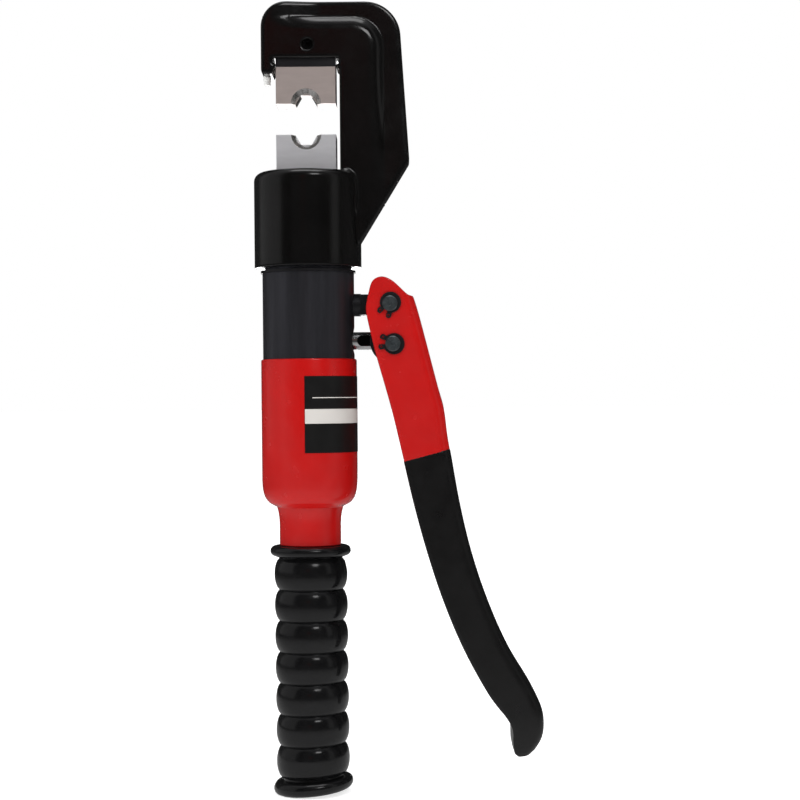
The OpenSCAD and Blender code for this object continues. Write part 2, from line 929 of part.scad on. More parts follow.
module label() {
    color([0.08, 0.08, 0.08])
        rotate([0, 0, -92.8])
            rotate_extrude(angle = 168)
                translate([casing_r + touch, label_z[0]])
                    square([0.15, label_z[1] - label_z[0]]);
}

module handle_tube() {
    color([0.55, 0.55, 0.57])
        ring_z(handle_tube_r, 8.5, 3, 116);
}

function rib(i) =
    let (z0 = grip_foot_z + i * rib_pitch, h = rib_r - groove_r,
        r = (h * h + rib_pitch * rib_pitch / 4) / (2 * h),
        a = asin(rib_pitch / 2 / r))
    arc([rib_r - r, z0 + rib_pitch / 2], r, -a, a, 12);

module rubber_grip() {
    color([0.07, 0.07, 0.075])
    rotate_extrude()
        polygon(concat(
            [[0, 0], [flange_r - 1.8, 0]],
            arc([flange_r - 2.4, 2.6], 2.4, -70, 70, 8),
            [[groove_r, 5.6]],
            [for (i = [0:rib_count - 1]) each rib(i)],
            arc([flange_r - 1.9, grip_top_z - 2], 1.9, -60, 75, 6),
            [[flange_r - 2.4, grip_top_z], [handle_tube_r + run, grip_top_z]],
            [[handle_tube_r + run, 2.9], [0, 2.9]]));
}

module end_plug() {
    color([0.6, 0.6, 0.62])
        rod_z(8.5 - touch, 3, 9);
}

module oil_bladder() {
    color([0.2, 0.2, 0.2])
    rotate_extrude()
        polygon([
            [3.05, 14], [7.6, 14], [7.6, 117.5], [14, 121.5], [15.7, 126], [15.7, 148.5],
            [bladder_spigot_r + run, 148.5], [bladder_spigot_r + run, 127],
            [13, 123], [6.4, 119.2], [6.4, 16], [3.05, 16]]);
}

module bladder_clamp() {
    color([0.6, 0.6, 0.62])
        ring_z(16.9, 15.72, 144.2, 147.6);
}

module filler_plug() {
    color([0.7, 0.6, 0.3]) {
        rod_z(3, 13, 17.5);
        rod_z(4.6, 10.8, 13.9);
    }
}

c_head();
die_seat_plate();
upper_die();
upper_die_screw();
lip_set_screw();
ram_wiper_ring();
ram_piston();
ram_seal();
ram_backup_ring();
ram_spring_eye();
return_spring();
lower_die();
lower_die_ball();
lower_die_ball_spring();
lower_die_ball_screw();
pump_body();
head_washer();
head_o_ring();
body_spring_eye();
suction_filter();
suction_seat();
suction_ball();
suction_spring();
delivery_ball();
delivery_spring();
delivery_plug();
plunger_seal();
plunger_gland();
relief_ball();
relief_spring();
relief_screw();
release_cartridge();
release_bracket();
release_lever();
release_lever_pin();
release_stem();
release_ball();
release_spring();
pivot_lug();
plunger();
plunger_eye();
lever_channel();
lever_grip();
fulcrum_pin();
plunger_pin();
pin_circlips();
lug_spacers();
eye_spacers();
handle_casing();
casing_o_ring();
label();
handle_tube();
rubber_grip();
end_plug();
oil_bladder();
bladder_clamp();
filler_plug();
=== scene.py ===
"""Looks of a hand-pumped hydraulic crimping tool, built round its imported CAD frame.

Lengths in the shape code are millimetres in the row frame; MM turns them into metres.
"""

import json
import math

import bmesh
import bpy
from mathutils import Matrix, Vector


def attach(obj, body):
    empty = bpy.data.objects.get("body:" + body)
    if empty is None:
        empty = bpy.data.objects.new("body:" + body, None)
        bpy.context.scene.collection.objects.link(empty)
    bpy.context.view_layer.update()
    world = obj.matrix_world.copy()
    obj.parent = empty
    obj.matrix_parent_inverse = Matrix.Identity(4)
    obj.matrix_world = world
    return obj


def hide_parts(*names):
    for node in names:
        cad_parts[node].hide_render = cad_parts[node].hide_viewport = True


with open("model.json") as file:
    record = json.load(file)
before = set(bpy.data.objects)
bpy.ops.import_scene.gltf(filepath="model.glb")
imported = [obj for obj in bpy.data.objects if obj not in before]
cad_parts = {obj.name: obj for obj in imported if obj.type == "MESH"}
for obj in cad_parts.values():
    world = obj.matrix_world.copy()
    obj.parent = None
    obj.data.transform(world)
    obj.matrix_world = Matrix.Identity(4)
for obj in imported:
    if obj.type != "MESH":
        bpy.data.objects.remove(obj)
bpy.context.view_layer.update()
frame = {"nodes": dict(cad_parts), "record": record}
nodes = frame["nodes"]
scene = bpy.context.scene
MM = 0.001


# ---- small geometry helpers ----


def arc(centre, r, a0, a1, n=10):
    """Points on an arc, from angle a0 to a1 in degrees."""
    return [
        (
            centre[0] + r * math.cos(math.radians(a0 + (a1 - a0) * i / n)),
            centre[1] + r * math.sin(math.radians(a0 + (a1 - a0) * i / n)),
        )
        for i in range(n + 1)
    ]


def smooth_line(points, n=6):
    """A Catmull-Rom line through the points, with n steps between neighbours."""
    out = []
    last = len(points) - 1
    for i in range(last):
        a, b, c, d = (Vector(points[min(max(j, 0), last)]) for j in (i - 1, i, i + 1, i + 2))
        for k in range(n):
            t = k / n
            out.append(
                0.5
                * (
                    2 * b
                    + (c - a) * t
                    + (2 * a - 5 * b + 4 * c - d) * t * t
                    + (3 * b - 3 * c + d - a) * t * t * t
                )
            )
    out.append(Vector(points[last]))
    return out


def resample(points, n):
    """n + 1 points spread evenly along a line."""
    points = [Vector(p) for p in points]
    at = [0.0]
    for a, b in zip(points, points[1:]):
        at.append(at[-1] + (b - a).length)
    out, j = [], 0
    for i in range(n + 1):
        s = at[-1] * i / n
        while j < len(at) - 2 and at[j + 1] < s:
            j += 1
        t = (s - at[j]) / max(at[j + 1] - at[j], 1e-9)
        out.append(points[j].lerp(points[j + 1], min(max(t, 0.0), 1.0)))
    return out


def mitres(points):
    """For each corner of an anticlockwise outline, how it moves for an inset of 1."""
    out = []
    n = len(points)
    for i in range(n):
        a, b, c = (Vector(points[j]) for j in (i - 1, i, (i + 1) % n))
        n1 = Vector((-(b - a).y, (b - a).x)).normalized()
        n2 = Vector((-(c - b).y, (c - b).x)).normalized()
        out.append((n1 + n2) / max(1 + n1.dot(n2), 0.35))
    return out


def skin(rings, wrap=False):
    """Vertices and faces through rings of equally many points, wrapped round or capped."""
    n = len(rings[0])
    verts = [p for ring in rings for p in ring]
    faces = []
    count = len(rings)
    for k in range(count if wrap else count - 1):
        a, b = k * n, ((k + 1) % count) * n
        for i in range(n):
            j = (i + 1) % n
            faces.append((a + i, a + j, b + j, b + i))
    if not wrap:
        faces.append(tuple(range(n - 1, -1, -1)))
        faces.append(tuple(range((count - 1) * n, count * n)))
    return verts, faces


def lathe(profile, steps):
    """A closed profile of (radius, height) points turned round Z."""
    rings = []
    for i in range(steps):
        a = math.radians(360.0 * i / steps)
        rings.append([(r * math.cos(a), r * math.sin(a), z) for r, z in profile])
    return skin(rings, wrap=True)


def build(name, verts, faces):
    """A mesh object in the scene, with outward normals and no double points."""
    bm = bmesh.new()
    made = [bm.verts.new(Vector(v) * MM) for v in verts]
    for f in faces:
        try:
            bm.faces.new([made[i] for i in f])
        except ValueError:
            continue
    bmesh.ops.remove_doubles(bm, verts=bm.verts, dist=1e-7)
    bmesh.ops.dissolve_degenerate(bm, edges=bm.edges, dist=1e-8)
    bmesh.ops.recalc_face_normals(bm, faces=bm.faces)
    mesh = bpy.data.meshes.new(name)
    bm.to_mesh(mesh)
    bm.free()
    ob = bpy.data.objects.new(name, mesh)
    scene.collection.objects.link(ob)
    return ob


def bake(ob):
    """Applies the object's modifiers to its mesh."""
    bpy.context.view_layer.update()
    graph = bpy.context.evaluated_depsgraph_get()
    mesh = bpy.data.meshes.new_from_object(ob.evaluated_get(graph))
    ob.modifiers.clear()
    ob.data = mesh
    return ob


def boolean(ob, tool, operation):
    """Cuts the tool from ob, adds it or keeps what they share, and removes the tool."""
    m = ob.modifiers.new("shape", "BOOLEAN")
    m.object = tool
    m.operation = operation
    m.solver = "EXACT"
    bake(ob)
    bpy.data.objects.remove(tool)
    return ob


def join(first, *others):
    """Adds the meshes of the others to the first and removes them."""
    bm = bmesh.new()
    for ob in (first, *others):
        bm.from_mesh(ob.data)
    bm.to_mesh(first.data)
    bm.free()
    for ob in others:
        bpy.data.objects.remove(ob)
    return first


def soften(ob, voxel, rounds):
    """Turns joined solids into one skin with small fillets at every edge."""
    m = ob.modifiers.new("skin", "REMESH")
    m.mode = "VOXEL"
    m.voxel_size = voxel * MM
    s = ob.modifiers.new("fillet", "SMOOTH")
    s.iterations = rounds
    s.factor = 0.5
    return bake(ob)


def bevel(ob, width, segments=2, angle=35.0):
    """Rounds the edges at which two faces turn by more than an angle."""
    m = ob.modifiers.new("edge", "BEVEL")
    m.width = width * MM
    m.segments = segments
    m.limit_method = "ANGLE"
    m.angle_limit = math.radians(angle)
    m.harden_normals = True
    return ob


def even(ob):
    """Shades flat faces flat, with the fine edges beside them left round."""
    m = ob.modifiers.new("even", "WEIGHTED_NORMAL")
    m.keep_sharp = True
    m.weight = 80
    return ob


def shade(ob, angle=32.0):
    """Shades smoothly, except across edges that turn by more than an angle."""
    ob.data.shade_smooth()
    ob.data.set_sharp_from_angle(angle=math.radians(angle))
    return ob


def place(ob, mat, body, replaced=(), angle=32.0):
    """Gives a new piece its material, its body and the CAD nodes that it stands for."""
    ob.data.materials.clear()
    for one in mat if isinstance(mat, (list, tuple)) else [mat]:
        ob.data.materials.append(one)
    shade(ob, angle)
    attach(ob, body)
    if replaced:
        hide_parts(*replaced)
    return ob


def slab(name, outline, half, r=0.0, steps=4):
    """An outline in X and Z made 2 * half thick along Y, its edges rounded by r.

    r is one radius, or a list with one for each point of the outline.
    """
    radii = r if isinstance(r, list) else [r] * len(outline)
    corners = list(zip(outline, mitres(outline), radii))
    front = []
    for k in range(steps + 1 if max(radii) > 0 else 1):
        a = math.radians(90 * k / steps)
        sink, inset = 1 - math.cos(a), 1 - math.sin(a)
        front.append(
            [(p[0] + m.x * q * inset, q * sink - half, p[1] + m.y * q * inset) for p, m, q in corners]
        )
    back = [[(x, -y, z) for x, y, z in ring] for ring in reversed(front)]
    return build(name, *skin(front + back))


def tube(name, path, r, sides=12):
    """A round bar along a path, thinning to a rounded end at both ends."""
    path = resample(path, 36)
    rings = []
    last = len(path) - 1
    for i, p in enumerate(path):
        t = (path[min(i + 1, last)] - path[max(i - 1, 0)]).normalized()
        u = t.cross(Vector((0, 1, 0.01))).normalized()
        v = t.cross(u)
        end = min(i, last - i) / 3
        q = r * (math.sqrt(max(1 - (1 - min(end, 1)) ** 2, 0.0)) * 0.9 + 0.1)
        rings.append(
            [
                p + u * (q * math.cos(math.tau * k / sides)) + v * (q * math.sin(math.tau * k / sides))
                for k in range(sides)
            ]
        )
    return build(name, *skin(rings))


def bar_y(name, x, z, profile, steps=64):
    """A profile of (radius, y) turned round a line along Y."""
    rings = []
    for i in range(steps):
        a = math.tau * i / steps
        rings.append([(x + r * math.cos(a), y, z + r * math.sin(a)) for r, y in profile])
    return build(name, *skin(rings, wrap=True))


# ---- materials ----


def add(tree, kind, **values):
    """A new node. Values called in_NAME go to its inputs, and the others to its settings."""
    node = tree.nodes.new(kind)
    for key, value in values.items():
        if key.startswith("in_"):
            node.inputs[key[3:].replace("_", " ")].default_value = value
        else:
            setattr(node, key, value)
    return node


def ramp(tree, stops):
    """A grey ramp through (place, brightness) stops."""
    node = add(tree, "ShaderNodeValToRGB")
    steps = node.color_ramp.elements
    for (at, level), step in zip((stops[0], stops[-1]), (steps[0], steps[1])):
        step.position = at
        step.color = (level, level, level, 1)
    for at, level in stops[1:-1]:
        steps.new(at).color = (level, level, level, 1)
    return node


def finish_material(
    name,
    base,
    rough,
    metallic=0.0,
    tint=0.1,
    tint_scale=60.0,
    rough_span=0.06,
    rough_scale=160.0,
    bump=0.05,
    bump_scale=900.0,
    stretch=(1, 1, 1),
    coat=0.0,
    coat_rough=0.05,
    specular=0.5,
    specks=None,
    only_off=None,
):
    """A procedural material: colour, roughness and relief each vary by their own noise."""
    mat = bpy.data.materials.new(name)
    mat.use_nodes = True
    tree = mat.node_tree
    tree.nodes.clear()
    out = add(tree, "ShaderNodeOutputMaterial")
    shader = add(tree, "ShaderNodeBsdfPrincipled")
    shader.inputs["Metallic"].default_value = metallic
    shader.inputs["Specular IOR Level"].default_value = specular
    shader.inputs["Coat Weight"].default_value = coat
    shader.inputs["Coat Roughness"].default_value = coat_rough
    link = tree.links.new
    link(shader.outputs["BSDF"], out.inputs["Surface"])
    coords = add(tree, "ShaderNodeTexCoord")
    mapping = add(tree, "ShaderNodeMapping", in_Scale=stretch)
    link(coords.outputs["Object"], mapping.inputs["Vector"])

    def noise(scale, detail=3.0, rough_noise=0.55):
        n = add(tree, "ShaderNodeTexNoise", in_Scale=scale, in_Detail=detail, in_Roughness=rough_noise)
        link(mapping.outputs["Vector"], n.inputs["Vector"])
        return n.outputs["Fac"]

    def span(value, lo, hi):
        # Noise stays mostly between 0.3 and 0.7
        m = add(tree, "ShaderNodeMapRange", in_From_Min=0.3, in_From_Max=0.7)
        m.inputs["To Min"].default_value, m.inputs["To Max"].default_value = lo, hi
        link(value, m.inputs["Value"])
        return m.outputs["Result"]

    mix = add(tree, "ShaderNodeMix", data_type="RGBA")
    mix.inputs["A"].default_value = (*[c * (1 - tint) for c in base], 1)
    mix.inputs["B"].default_value = (*[min(c * (1 + tint), 1) for c in base], 1)
    link(span(noise(tint_scale), 0.0, 1.0), mix.inputs["Factor"])
    colour = mix.outputs["Result"]
    if specks:
        # Small scattered marks: (colour, scale, where they begin, softness)
        mark, scale, cut, soft = specks
        m = add(tree, "ShaderNodeMapRange", in_From_Min=cut, in_From_Max=cut + soft)
        link(noise(scale, 6.0, 0.7), m.inputs["Value"])
        over = add(tree, "ShaderNodeMix", data_type="RGBA")
        over.inputs["B"].default_value = (*mark, 1)
        link(m.outputs["Result"], over.inputs["Factor"])
        link(colour, over.inputs["A"])
        colour = over.outputs["Result"]
    if only_off:
        # Another colour where the distance from the middle plane is between two values
        axis, near, far, other = only_off
        split = add(tree, "ShaderNodeSeparateXYZ")
        link(coords.outputs["Object"], split.inputs["Vector"])
        gap = add(tree, "ShaderNodeMath", operation="ABSOLUTE")
        link(split.outputs[axis], gap.inputs[0])
        band = add(tree, "ShaderNodeMath", operation="COMPARE")
        band.inputs[1].default_value = (near + far) / 2
        band.inputs[2].default_value = (far - near) / 2
        link(gap.outputs["Value"], band.inputs[0])
        over = add(tree, "ShaderNodeMix", data_type="RGBA")
        over.inputs["B"].default_value = (*other, 1)
        link(band.outputs["Value"], over.inputs["Factor"])
        link(colour, over.inputs["A"])
        colour = over.outputs["Result"]
    link(colour, shader.inputs["Base Color"])
    link(
        span(noise(rough_scale), max(rough - rough_span, 0.02), rough + rough_span),
        shader.inputs["Roughness"],
    )
    relief = add(tree, "ShaderNodeBump", in_Strength=bump, in_Distance=0.0004)
    link(noise(bump_scale, 2.0), relief.inputs["Height"])
    link(relief.outputs["Normal"], shader.inputs["Normal"])
    if coat:
        link(relief.outputs["Normal"], shader.inputs["Coat Normal"])
    return mat


black_paint = finish_material(
    "gloss_black", (0.0022, 0.002, 0.002), 0.18, tint=0.25, bump=0.06, bump_scale=420, coat=0.2,
    specks=((0.03, 0.03, 0.03), 900, 0.72, 0.04),
)
satin_black = finish_material(
    "satin_black", (0.086, 0.086, 0.099), 0.36, metallic=0.88, tint=0.16, tint_scale=300, bump=0.1,
    bump_scale=900, stretch=(1, 1, 0.07), rough_scale=260,
)
blackened = finish_material(
    "black_oxide", (0.018, 0.018, 0.02), 0.36, metallic=0.5, tint=0.2, bump=0.12, bump_scale=1300,
)
blued = finish_material(
    "blued_steel", (0.1, 0.118, 0.125), 0.3, metallic=0.8, tint=0.3, tint_scale=500, bump=0.2,
    bump_scale=1400,
)
red_paint = finish_material(
    "gloss_red", (0.42, 0.0048, 0.0044), 0.24, tint=0.05, bump=0.045, bump_scale=380, coat=0.15,
    specular=0.4, rough_span=0.04, specks=((0.48, 0.02, 0.018), 1300, 0.76, 0.05),
)
# Two copies of one die steel: this darker, warmer one holds painted shade and a painted warm
# reflection, and the next, lighter and bluer one holds painted light
die_steel = finish_material(
    "die_steel", (0.49, 0.42, 0.395), 0.33, metallic=0.6, tint=0.05, tint_scale=120,
    rough_span=0.05, rough_scale=300, bump=0.03, bump_scale=1500, stretch=(1, 1, 4),
)
die_steel_painted_light = finish_material(
    "die_steel_painted_light", (0.72, 0.72, 0.745), 0.33, metallic=0.6, tint=0.04, tint_scale=120,
    rough_span=0.05, rough_scale=300, bump=0.03, bump_scale=1500, stretch=(1, 1, 4),
)
die_polish = finish_material(
    "die_polish", (0.72, 0.7, 0.68), 0.2, metallic=0.9, tint=0.02, tint_scale=80,
    rough_span=0.03, rough_scale=60, bump=0.02, bump_scale=1500,
)
ground_steel = finish_material(
    "ground_steel", (0.74, 0.74, 0.75), 0.14, metallic=1.0, tint=0.05, bump=0.06,
    bump_scale=900, stretch=(9, 1, 1),
)
plain_steel = finish_material(
    "plain_steel", (0.5, 0.5, 0.52), 0.32, metallic=1.0, tint=0.1, bump=0.12, bump_scale=1200,
)
zinc = finish_material(
    "bright_zinc", (0.93, 0.93, 0.91), 0.35, metallic=0.25, tint=0.06, bump=0.08, bump_scale=1500,
)
ball_steel = finish_material(
    "ball_steel", (0.7, 0.7, 0.72), 0.08, metallic=1.0, tint=0.03, rough_span=0.03, bump=0.01,
)
spring_steel = finish_material(
    "spring_steel", (0.42, 0.42, 0.44), 0.3, metallic=1.0, tint=0.12, bump=0.15, bump_scale=2200,
)
brass = finish_material(
    "brass", (0.62, 0.42, 0.13), 0.25, metallic=1.0, tint=0.1, bump=0.1, bump_scale=1200,
)
# Near-black and matte: painted shade for the screw deep in the head's cross hole
hole_shade_black = finish_material(
    "painted_hole_shade", (0.0012, 0.0012, 0.0012), 0.7, tint=0.2, bump=0.1, bump_scale=900, specular=0.2,
)
seal_rubber = finish_material(
    "seal_rubber", (0.02, 0.02, 0.02), 0.5, tint=0.2, bump=0.15, bump_scale=2500,
)
seal_plastic = finish_material(
    "seal_plastic", (0.75, 0.73, 0.68), 0.35, tint=0.05, bump=0.08, bump_scale=1800,
)
grip_rubber = finish_material(
    "grip_rubber", (0.0045, 0.0045, 0.0048), 0.17, tint=0.2, tint_scale=120, rough_span=0.07,
    bump=0.06, bump_scale=520, specks=((0.05, 0.05, 0.05), 1500, 0.75, 0.04),
)
vinyl = finish_material(
    "dipped_vinyl", (0.0045, 0.0042, 0.0043), 0.34, tint=0.2, tint_scale=90, rough_span=0.08,
    bump=0.1, bump_scale=620, specks=((0.07, 0.07, 0.07), 1300, 0.7, 0.04),
)
label_black = finish_material(
    "label_black", (0.0065, 0.0063, 0.0063), 0.36, tint=0.1, bump=0.03, bump_scale=900,
)
label_white = finish_material(
    "label_white", (0.57, 0.545, 0.515), 0.42, tint=0.03, bump=0.03, bump_scale=900,
)

BY_SLOT = {
    "gloss_black": black_paint,
    "satin_black": satin_black,
    "black_oxide": blackened,
    "pin_steel": blued,
    "red_paint": red_paint,
    "die_steel": die_steel,
    "ground_steel": ground_steel,
    "bright_zinc": zinc,
    "plain_steel": plain_steel,
    "ball_steel": ball_steel,
    "spring_steel": spring_steel,
    "brass": brass,
    "seal_rubber": seal_rubber,
    "seal_plastic": seal_plastic,
    "grip_rubber": grip_rubber,
    "dipped_vinyl": vinyl,
    "label_film": label_black,
}
for part in frame["record"]["subparts"]:
    ob = nodes[part["node"]]
    ob.data.materials.clear()
    ob.data.materials.append(BY_SLOT[part["material_slot"]])
# The upper die's screw sits at the bottom of the cross hole and is coloured near-black as painted shade
# of the hole
nodes["upper_die_screw"].data.materials[0] = hole_shade_black

# The plunger's two milled flats are coloured near-black: a painted dark reflection on the ground rod
rod_steel = finish_material(
    "ground_rod", (0.74, 0.74, 0.75), 0.14, metallic=1.0, tint=0.05, bump=0.06, bump_scale=900,
    stretch=(9, 1, 1), only_off=("Y", 0.00270, 0.00280, (0.02, 0.02, 0.022)),
)
nodes["plunger"].data.materials[0] = rod_steel


# ---- head ----

# Heights of the hook's top, of the seat of the die plate and of the lip, and the hook's left side
TOP = 310.0
SEAT = 287.6
LIP = 281.4
LEFT = -17.4
MOUTH_L, MOUTH_R = -12.9, 13.2
# Ends of the arm's slanted side
FOOT = Vector((20.0, 214.6))
CORNER = Vector((40.2, 247.2))
SLEEVE_Z = (206.0, 243.4)
WEB_HALF = 8.4
RIM_HALF = 5.6

lip = (
    arc((LEFT + 1.7, LIP + 1.7), 1.7, 180, 270, 6)
    + arc((-14.1, LIP + 1.5), 1.5, 270, 355, 5)
    + [(-12.3, 283.4), (-11.85, 284.2), (-11.85, 285.0), (MOUTH_L, 285.3)]
)
arm_inside = [
    (MOUTH_L, SEAT), (MOUTH_R, SEAT), (MOUTH_R, 285.3), (12.0, 285.0), (12.0, 284.3),
    (MOUTH_R, 283.3), (MOUTH_R, 240.6), (17.5, 238.6), (18.0, 217.5), tuple(FOOT),
]
rim_outline = (
    lip
    + arm_inside
    + arc((CORNER.x - 1.6, CORNER.y + 0.6), 1.6, -38, 0, 4)
    + arc((23.2, TOP - 14), 14, 2, 90, 18)
    + arc((LEFT + 10, TOP - 10), 10, 90, 180, 12)
)
radii = [0.45] * (len(lip) + len(arm_inside))
radii[:7] = [1.1] * 7
radii += [1.3] * (len(rim_outline) - len(radii))
head = slab("c_head_paint", rim_outline, WEB_HALF, radii, 6)
# A rounded seam on both faces, where the arm runs into the sleeve
beads = [
    tube(
        "bead",
        smooth_line(
            [
                (13.9, side * 8.0, 243.4), (15.4, side * 8.8, 243.1), (17.4, side * 9.2, 241.8),
                (18.6, side * 9.2, 239.2), (18.9, side * 9.0, 234), (18.7, side * 9.2, 229.4),
                (19.3, side * 8.7, 227.2),
            ],
            6,
        ),
        0.8,
    )
    for side in (-1, 1)
]
core = build("core", *lathe([(0, 214.7), (19.6, 214.7), (19.6, 240), (17, 242.5), (0, 242.5)], 64))
join(head, core, *beads)
soften(head, 0.5, 3)

# The rim lies lower than the web inside it, which it meets along a crease
CREASE_C = Vector((18.1, TOP - 18.3))
CREASE_R = 12.3
SLOPE_W = 5.6
DROP = WEB_HALF - RIM_HALF


def ease(t):
    """A soft step from 0 to 1."""
    t = min(max(t, 0.0), 1.0)
    return t * t * (3 - 2 * t)


def sunk(x, z):
    """How far the side face lies below the web, fading out towards the hook and the sleeve."""
    out = Vector((max(x - CREASE_C.x, 0), max(z - CREASE_C.y, 0)))
    inside = (CREASE_R - out.length) / SLOPE_W
    fade = ease((x + 14) / 20) * ease((z - 230) / 55)
    return DROP * fade * (1 - min(max(inside, 0.0), 1.0)) ** 2.2


for v in head.data.vertices:
    x, y, z = v.co / MM
    out = Vector((max(x - CREASE_C.x, 0), max(z - CREASE_C.y, 0)))
    off = out.length - CREASE_R
    if abs(off) < 0.3 and out.length > 0:
        # The nearest points move onto the crease, which makes it one clean line
        x, z = x - out.x / out.length * off, z - out.y / out.length * off
    v.co = Vector((x, y * (1 - sunk(x, z) / WEB_HALF), z)) * MM

sleeve = build(
    "sleeve",
    *lathe(
        [(17.0, SLEEVE_Z[0] + 0.4), (17.4, SLEEVE_Z[0])]
        + [(20.7, SLEEVE_Z[0]), (21, SLEEVE_Z[0] + 0.3)]
        + [(21, SLEEVE_Z[0] + 0.9 + 2.35 * k) for k in range(14)]
        + arc((17.6, SLEEVE_Z[1] - 3.4), 3.4, 0, 90, 10)
        + [(13.1, SLEEVE_Z[1]), (12.6, SLEEVE_Z[1] - 0.5)]
        + [(12.6, 238.9), (15, 238.9), (15, 216), (17, 216)],
        192,
    ),
)
bore_profile = [
    (0, 200), (16.9, 200), (16.9, 215), (14.9, 217),
    (14.9, 238.9), (12.58, 239), (12.58, 246), (0, 246),
]
bore = build("bore", *lathe(bore_profile, 96))
boolean(head, bore, "DIFFERENCE")
boolean(head, sleeve, "UNION")

# The cross hole over the upper die's screw, with a rounded rim
HOLE_X, HOLE_Z = 0.8, 292.9
HOLE_R, ROUND_R, ROUND_DEPTH = 2.1, 0.9, 0.7
drill_profile = [(0, -12), (3.1, -12), (3.05, -WEB_HALF)]
for t in range(1, 7):
    turn = t / 6 * math.pi / 2
    drill_profile.append(
        (HOLE_R + ROUND_R * (1 - math.sin(turn)), -WEB_HALF + ROUND_DEPTH * (1 - math.cos(turn)))
    )
drill_profile += [(HOLE_R, -3.5), (0, -3.5)]
boolean(head, bar_y("drill", HOLE_X, HOLE_Z, drill_profile), "DIFFERENCE")
even(place(head, black_paint, "head", ["c_head"], 60))

# Set screw in the lip: a short stretch of thread, then its plain end
SCREW_X, SCREW_END = -15.4, LIP - 3.3
thread = [(1.6 if k % 2 else 1.42, LIP + 0.4 - k * 0.22) for k in range(9)]
screw_profile = (
    [(0, LIP + 4), (1.5, LIP + 4)]
    + thread
    + [(1.28, LIP - 1.7), (1.25, SCREW_END + 0.3), (0.9, SCREW_END), (0, SCREW_END)]
)
lip_screw = build("lip_set_screw_steel", *lathe(screw_profile, 40))
for v in lip_screw.data.vertices:
    v.co.x += SCREW_X * MM
place(lip_screw, zinc, "head", ["lip_set_screw"])


# ---- dies ----

DIE_HALF_W, DIE_HALF_T = 11.7, 7.0
HEX_SIDE = 4.2
CONE_R = 5.8


def die(name, z_face, z_back, shank, body, node, steel):
    """A die with a half-hexagon notch that opens in a cone to both faces."""
    lo, hi = min(z_face, z_back), max(z_face, z_back)
    corners = [(-DIE_HALF_W, lo), (DIE_HALF_W, lo), (DIE_HALF_W, hi), (-DIE_HALF_W, hi)]
    block = slab(name, corners, DIE_HALF_T, 0.25, 2)
    hexagon = []
    for k in range(6):
        turn = math.radians(60 * k)
        hexagon.append((HEX_SIDE * math.cos(turn), z_face + HEX_SIDE * math.sin(turn)))
    boolean(block, slab("hex", hexagon, 9), "DIFFERENCE")
    for side in (-1, 1):
        cone = [(0, 8), (6.35, 8), (CONE_R, DIE_HALF_T), (HEX_SIDE, 4.0), (0, 4.0)]
        cone = [(r, side * y) for r, y in cone]
        boolean(block, bar_y("mouth", 0, z_face, cone, 96), "DIFFERENCE")
    bevel(block, 0.12, 2, 30)
    bake(block)
    lo, hi = min(shank), max(shank)
    rod = [(0, lo), (4.3, lo), (4.5, lo + 0.2), (4.5, hi - 0.2), (4.3, hi), (0, hi)]
    join(block, build("shank", *lathe(rod, 48)))
    place(block, [steel, die_polish], body, [node])
    # The notch and its cones are polished, and the flat faces are ground
    for f in block.data.polygons:
        flat = max(abs(n) for n in f.normal) > 0.97
        near = math.hypot(f.center.x / MM, f.center.z / MM - z_face) < 7
        f.material_index = 1 if near and not flat else 0
    even(block)


# The upper die takes the darker, warmer steel as painted shade and the lower die the lighter, bluer
# steel as painted light
die("upper_die_ground", 269.9, 284.3, (284, 296.9), "head", "upper_die", die_steel)
die("lower_die_ground", 257.8, 243.5, (234.5, 244), "ram", "lower_die", die_steel_painted_light)


# ---- handle ----


def casing():
    """The red casing: a neck that widens to a crease, a rounded shoulder and the plain tube."""
    shoulder = [(13.9, 112.8), (15.4, 113.6), (16.5, 114.5), (17.8, 116.5), (18.55, 119.4), (18.8, 123)]
    profile = (
        [(10.06, 97.3), (11.8, 97.3), (12.1, 97.6), (12.1, 105.5)]
        + arc((36.1, 105.5), 24, 180, 163.6, 8)[1:]
        + [(13.35, 112.55)]
        + [tuple(p) for p in smooth_line(shoulder, 6)]
        + [(18.8, 169.6), (18.65, 170.0), (18.3, 170.2), (17.1, 170.2)]
        + [(17.05, 125), (14, 118.6), (10.06, 118.6)]
    )
    ob = build("handle_casing_paint", *lathe(profile, 160))
    place(ob, red_paint, "pump", ["handle_casing"], 28)


casing()


def label_patch(a0, a1, z0, z1, r0, r1):
    """A piece of thin film on the casing, from azimuth a0 to a1 and height z0 to z1."""
    n = max(int((a1 - a0) / 2.5), 2)
    rings = []
    for i in range(n + 1):
        t = math.radians(a0 + (a1 - a0) * i / n)
        rings.append(
            [
                (r * math.cos(t), r * math.sin(t), z)
                for r, z in ((r0, z0), (r1, z0), (r1, z1), (r0, z1))
            ]
        )
    return skin(rings)


def label():
    """A plain black label with one pale band and one thin rule."""
    film_r, print_r = (18.8, 18.95), (18.94, 18.965)
    film = build("label_printed", *label_patch(-92.8, 75.2, 133.8, 163.4, *film_r))
    film_faces = len(film.data.polygons)
    band, rule = (-92.4, 74.8, 145.1, 150.7), (-83.5, 62, 154.9, 155.25)
    join(film, *[build("mark", *label_patch(*mark, *print_r)) for mark in (band, rule)])
    place(film, [label_black, label_white], "pump", ["label"])
    for i, f in enumerate(film.data.polygons):
        f.material_index = 0 if i < film_faces else 1


label()


